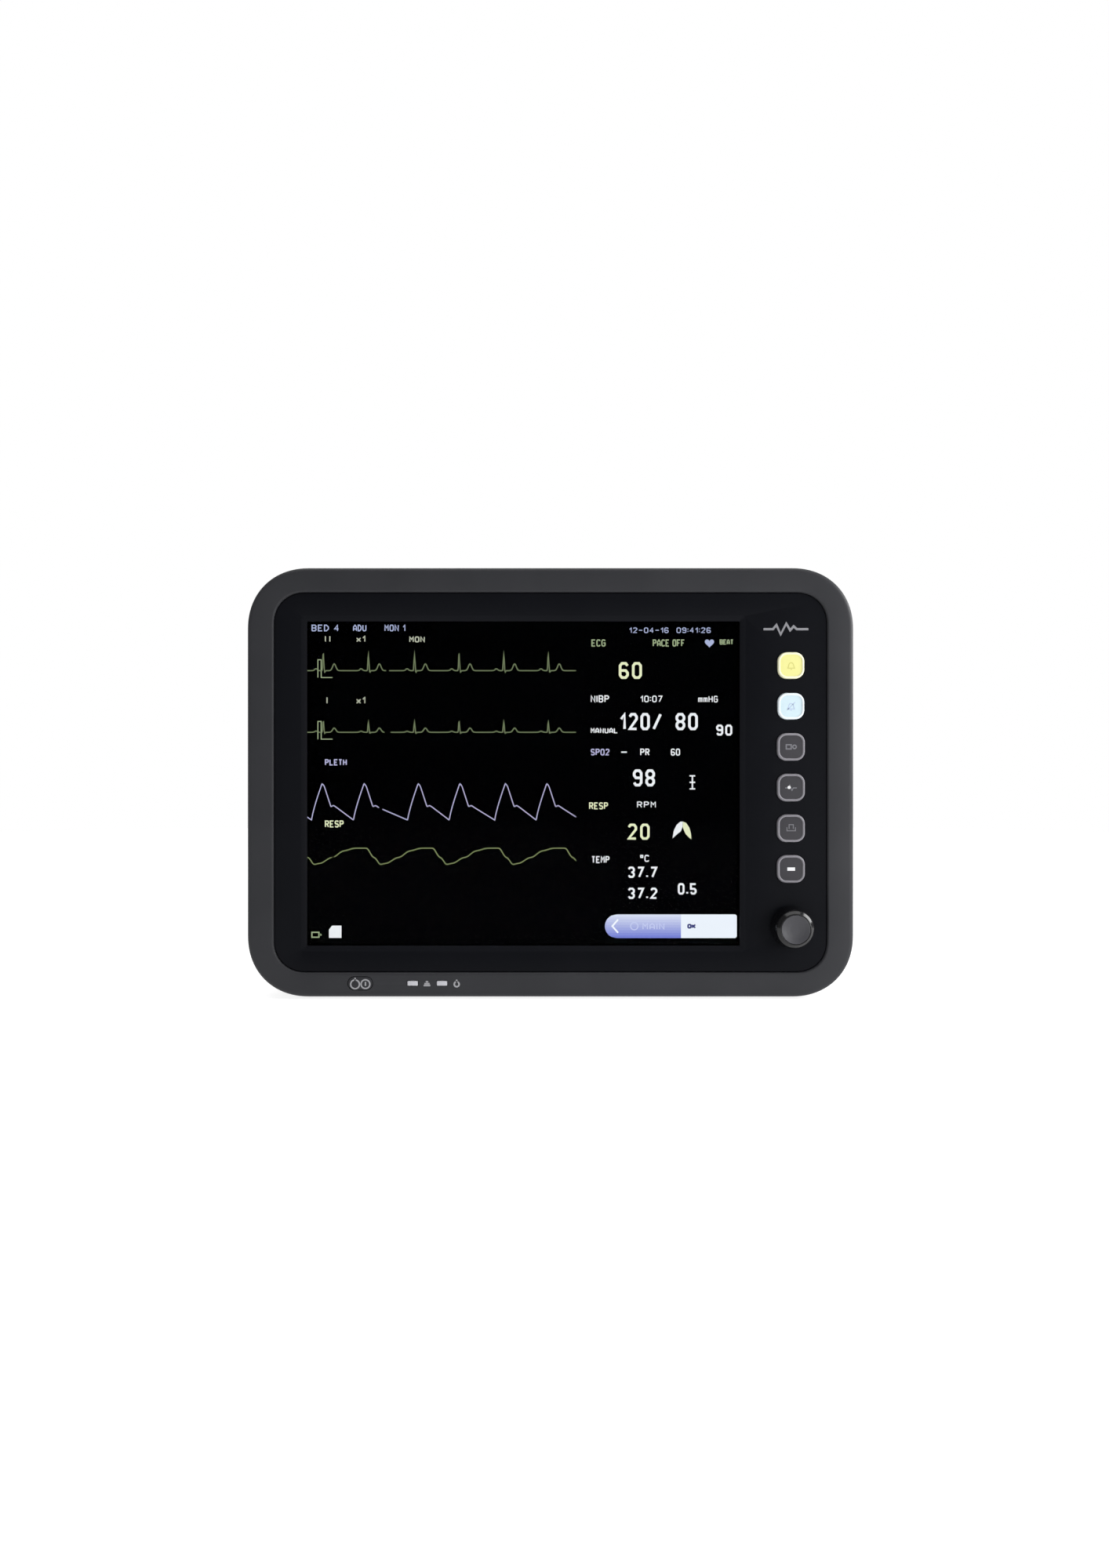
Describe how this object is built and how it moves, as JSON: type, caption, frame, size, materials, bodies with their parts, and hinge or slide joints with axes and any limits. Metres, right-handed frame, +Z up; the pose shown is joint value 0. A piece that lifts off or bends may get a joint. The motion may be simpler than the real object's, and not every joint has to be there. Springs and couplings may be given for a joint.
{
  "type": "patient monitor",
  "caption": "Bedside patient monitor: dark grey framed display with side keys and a rotary knob, tapered rear housing with folding handle, side sockets and feet.",
  "frame": {"origin": "centre of the bounding box's underside, on the surface that the feet stand on", "axes": "+Z up, -Y out of the screen, +X to the right of a person who faces the screen"},
  "size_m": [0.346, 0.1378, 0.2463],
  "materials": {
    "frame_grey": "fine satin texture, dark neutral grey",
    "panel_black": "smooth satin black overlay",
    "lens_clear": "clear anti-glare window",
    "screen_black": "lit display with traces and numerals",
    "shell_grey": "fine spark-eroded texture",
    "key_yellow": "translucent pale yellow, light rim",
    "key_blue": "translucent pale cyan, light rim",
    "key_grey": "dark centre with a raised light grey rim",
    "knob_black": "glossy black flank",
    "knob_grey": "satin dark grey face",
    "silicone": "milky silicone",
    "foot_rubber": "soft black rubber",
    "board_green": "solder mask",
    "steel": "zinc-plated steel",
    "aluminium": "brushed and clear anodised",
    "brass": "turned brass",
    "light_pipe": "frosted clear light pipe",
    "socket_white": "moulded pale grey",
    "socket_blue": "moulded blue",
    "socket_black": "moulded black",
    "battery_blue": "shrink-wrapped cell pack",
    "pump_black": "moulded pump housing",
    "tube_grey": "flexible grey tube and ribbon"
  },
  "bodies": {
    "root": {"front_frame": "frame_grey", "front_panel": "panel_black", "display_lens": "lens_clear", "display_gasket": "foot_rubber", "lcd_panel": "screen_black", "keypad_mat": "silicone", "keypad_board": "board_green", "encoder_body": "steel", "power_switch": "steel", "light_pipe_battery": "light_pipe", "light_pipe_mains": "light_pipe", "indicator_board": "board_green", "rear_shell": "shell_grey", "foot_front_left": "foot_rubber", "foot_front_right": "foot_rubber", "foot_rear_left": "foot_rubber", "foot_rear_right": "foot_rubber", "casing_screw_1": "steel", "casing_screw_2": "steel", "casing_screw_3": "steel", "casing_screw_4": "steel", "handle_pin_left": "steel", "handle_pin_right": "steel", "battery_door_pin": "steel", "battery_tray": "socket_black", "battery_pack": "battery_blue", "connector_panel": "shell_grey", "ecg_socket": "socket_white", "spo2_socket": "socket_blue", "nibp_port": "steel", "temp_socket_1": "socket_white", "temp_socket_2": "socket_white", "mains_inlet": "socket_black", "ground_post": "brass", "lan_socket": "steel", "usb_socket": "steel", "mounting_plate": "aluminium", "chassis_plate": "steel", "main_board": "board_green", "power_supply": "board_green", "parameter_module": "aluminium", "backlight_inverter": "board_green", "cuff_pump": "pump_black", "bleed_valve": "steel", "air_hose": "tube_grey", "speaker": "socket_black", "display_cable": "tube_grey"},
    "key_alarm_silence": {"key_alarm_silence": "key_yellow"},
    "key_alarm_pause": {"key_alarm_pause": "key_blue"},
    "key_cuff_pressure": {"key_cuff_pressure": "key_grey"},
    "key_freeze": {"key_freeze": "key_grey"},
    "key_record": {"key_record": "key_grey"},
    "key_menu": {"key_menu": "key_grey"},
    "power_key": {"power_key": "frame_grey"},
    "encoder_rotor": {"encoder_rotor": "socket_black"},
    "knob": {"encoder_shaft": "steel", "knob": "knob_black", "knob_cap": "knob_grey"},
    "carry_handle": {"carry_handle": "frame_grey"},
    "battery_door": {"battery_door": "shell_grey"}
  },
  "joints": [
    {"name": "alarm_silence_press", "type": "slide", "parent": "root", "child": "key_alarm_silence", "axis": [0, 1, 0], "range_m": [0, 0.0008], "stiffness_N_per_m": 800, "springref_m": -0.0004},
    {"name": "alarm_pause_press", "type": "slide", "parent": "root", "child": "key_alarm_pause", "axis": [0, 1, 0], "range_m": [0, 0.0008], "stiffness_N_per_m": 800, "springref_m": -0.0004},
    {"name": "cuff_pressure_press", "type": "slide", "parent": "root", "child": "key_cuff_pressure", "axis": [0, 1, 0], "range_m": [0, 0.0008], "stiffness_N_per_m": 800, "springref_m": -0.0004},
    {"name": "freeze_press", "type": "slide", "parent": "root", "child": "key_freeze", "axis": [0, 1, 0], "range_m": [0, 0.0008], "stiffness_N_per_m": 800, "springref_m": -0.0004},
    {"name": "record_press", "type": "slide", "parent": "root", "child": "key_record", "axis": [0, 1, 0], "range_m": [0, 0.0008], "stiffness_N_per_m": 800, "springref_m": -0.0004},
    {"name": "menu_press", "type": "slide", "parent": "root", "child": "key_menu", "axis": [0, 1, 0], "range_m": [0, 0.0008], "stiffness_N_per_m": 800, "springref_m": -0.0004},
    {"name": "power_press", "type": "slide", "parent": "root", "child": "power_key", "axis": [0, 1, 0], "range_m": [0, 0.0008], "stiffness_N_per_m": 800, "springref_m": -0.0004},
    {"name": "knob_turn", "type": "hinge", "parent": "root", "child": "encoder_rotor", "pos_m": [0.137, -0.05, 0.0415], "axis": [0, 1, 0], "continuous": true},
    {"name": "knob_press", "type": "slide", "parent": "encoder_rotor", "child": "knob", "axis": [0, 1, 0], "range_m": [0, 0.0008], "stiffness_N_per_m": 800, "springref_m": -0.0004},
    {"name": "handle_swing", "type": "hinge", "parent": "root", "child": "carry_handle", "pos_m": [0, 0.012, 0.235], "axis": [1, 0, 0], "range_deg": [0, 115]},
    {"name": "battery_door_swing", "type": "hinge", "parent": "root", "child": "battery_door", "pos_m": [-0.062, 0.0639, 0.027], "axis": [-1, 0, 0], "range_deg": [0, 95]}
  ]
}
